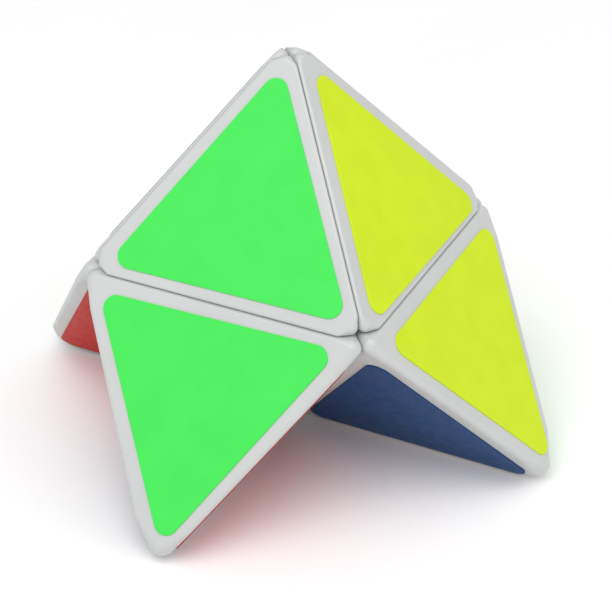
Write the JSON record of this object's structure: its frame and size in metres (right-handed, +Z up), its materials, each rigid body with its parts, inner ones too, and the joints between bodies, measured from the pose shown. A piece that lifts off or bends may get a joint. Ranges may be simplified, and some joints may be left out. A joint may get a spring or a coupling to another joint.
{
  "type": "pyramid twisty puzzle",
  "caption": "Twisty pyramid puzzle with a hidden sprung mechanism, twisted so that it stands on its points; the upper half turns.",
  "frame": {"origin": "on the surface that the puzzle stands on, under the middle of its mechanism", "axes": "+Z up along the turning axis of the upper half, -Y towards the front, +X to the right"},
  "size_m": [0.0626, 0.0626, 0.0612],
  "materials": {
    "white_plastic": "smooth white moulded plastic, soft gloss",
    "inner_plastic": "plain moulded plastic with a little grease",
    "steel": "zinc-plated screws and spring wire",
    "sticker_green": "bright green vinyl sticker, satin",
    "sticker_yellow": "bright yellow vinyl sticker, satin",
    "sticker_blue": "blue vinyl sticker, satin",
    "sticker_red": "red vinyl sticker, satin"
  },
  "bodies": {
    "lower_half": {"core": "inner_plastic", "cap_bottom": "inner_plastic", "cap_left": "inner_plastic", "cap_back": "inner_plastic", "screw_top": "steel", "screw_right": "steel", "screw_front": "steel", "spring_top": "steel", "spring_right": "steel", "spring_front": "steel", "edge_bottom_front": "inner_plastic", "edge_bottom_right": "inner_plastic", "edge_bottom_back": "inner_plastic", "edge_bottom_left": "inner_plastic", "edge_front_left": "inner_plastic", "edge_front_right": "inner_plastic", "edge_back_left": "inner_plastic", "edge_back_right": "inner_plastic", "leg_shell_front_left": "white_plastic", "leg_foot_front_left": "inner_plastic", "leg_shell_front_right": "white_plastic", "leg_foot_front_right": "inner_plastic", "leg_shell_back_right": "white_plastic", "leg_foot_back_right": "inner_plastic", "leg_shell_back_left": "white_plastic", "leg_foot_back_left": "inner_plastic", "sticker_leg_front_left_outer": "sticker_green", "sticker_leg_front_left_under_front": "sticker_red", "sticker_leg_front_left_under_left": "sticker_blue", "sticker_leg_front_right_outer": "sticker_yellow", "sticker_leg_front_right_under_right": "sticker_green", "sticker_leg_front_right_under_front": "sticker_blue", "sticker_leg_back_right_outer": "sticker_red", "sticker_leg_back_right_under_back": "sticker_green", "sticker_leg_back_right_under_right": "sticker_yellow", "sticker_leg_back_left_outer": "sticker_blue", "sticker_leg_back_left_under_left": "sticker_red", "sticker_leg_back_left_under_back": "sticker_yellow"},
    "top_cap": {"cap_top": "inner_plastic"},
    "upper_half": {"upper_shell_front_left": "white_plastic", "upper_foot_front_left": "inner_plastic", "upper_shell_front_right": "white_plastic", "upper_foot_front_right": "inner_plastic", "upper_shell_back_right": "white_plastic", "upper_foot_back_right": "inner_plastic", "upper_shell_back_left": "white_plastic", "upper_foot_back_left": "inner_plastic", "edge_top_front": "inner_plastic", "edge_top_right": "inner_plastic", "edge_top_back": "inner_plastic", "edge_top_left": "inner_plastic", "sticker_upper_front_left": "sticker_green", "sticker_upper_front_right": "sticker_yellow", "sticker_upper_back_right": "sticker_red", "sticker_upper_back_left": "sticker_blue"},
    "right_cap": {"cap_right": "inner_plastic"},
    "front_cap": {"cap_front": "inner_plastic"}
  },
  "joints": [
    {"name": "top_cap_float", "type": "slide", "parent": "lower_half", "child": "top_cap", "axis": [0, 0, 1], "range_m": [0, 0.0005], "stiffness_N_per_m": 1500, "springref_m": -0.001, "deforming": ["spring_top"]},
    {"name": "upper_half_turn", "type": "hinge", "parent": "top_cap", "child": "upper_half", "pos_m": [0, 0, 0.03131], "axis": [0, 0, 1], "continuous": true},
    {"name": "right_cap_float", "type": "slide", "parent": "lower_half", "child": "right_cap", "axis": [1, 0, 0], "range_m": [0, 0.0005], "stiffness_N_per_m": 1500, "springref_m": -0.001, "deforming": ["spring_right"]},
    {"name": "front_cap_float", "type": "slide", "parent": "lower_half", "child": "front_cap", "axis": [0, -1, 0], "range_m": [0, 0.0005], "stiffness_N_per_m": 1500, "springref_m": -0.001, "deforming": ["spring_front"]}
  ]
}
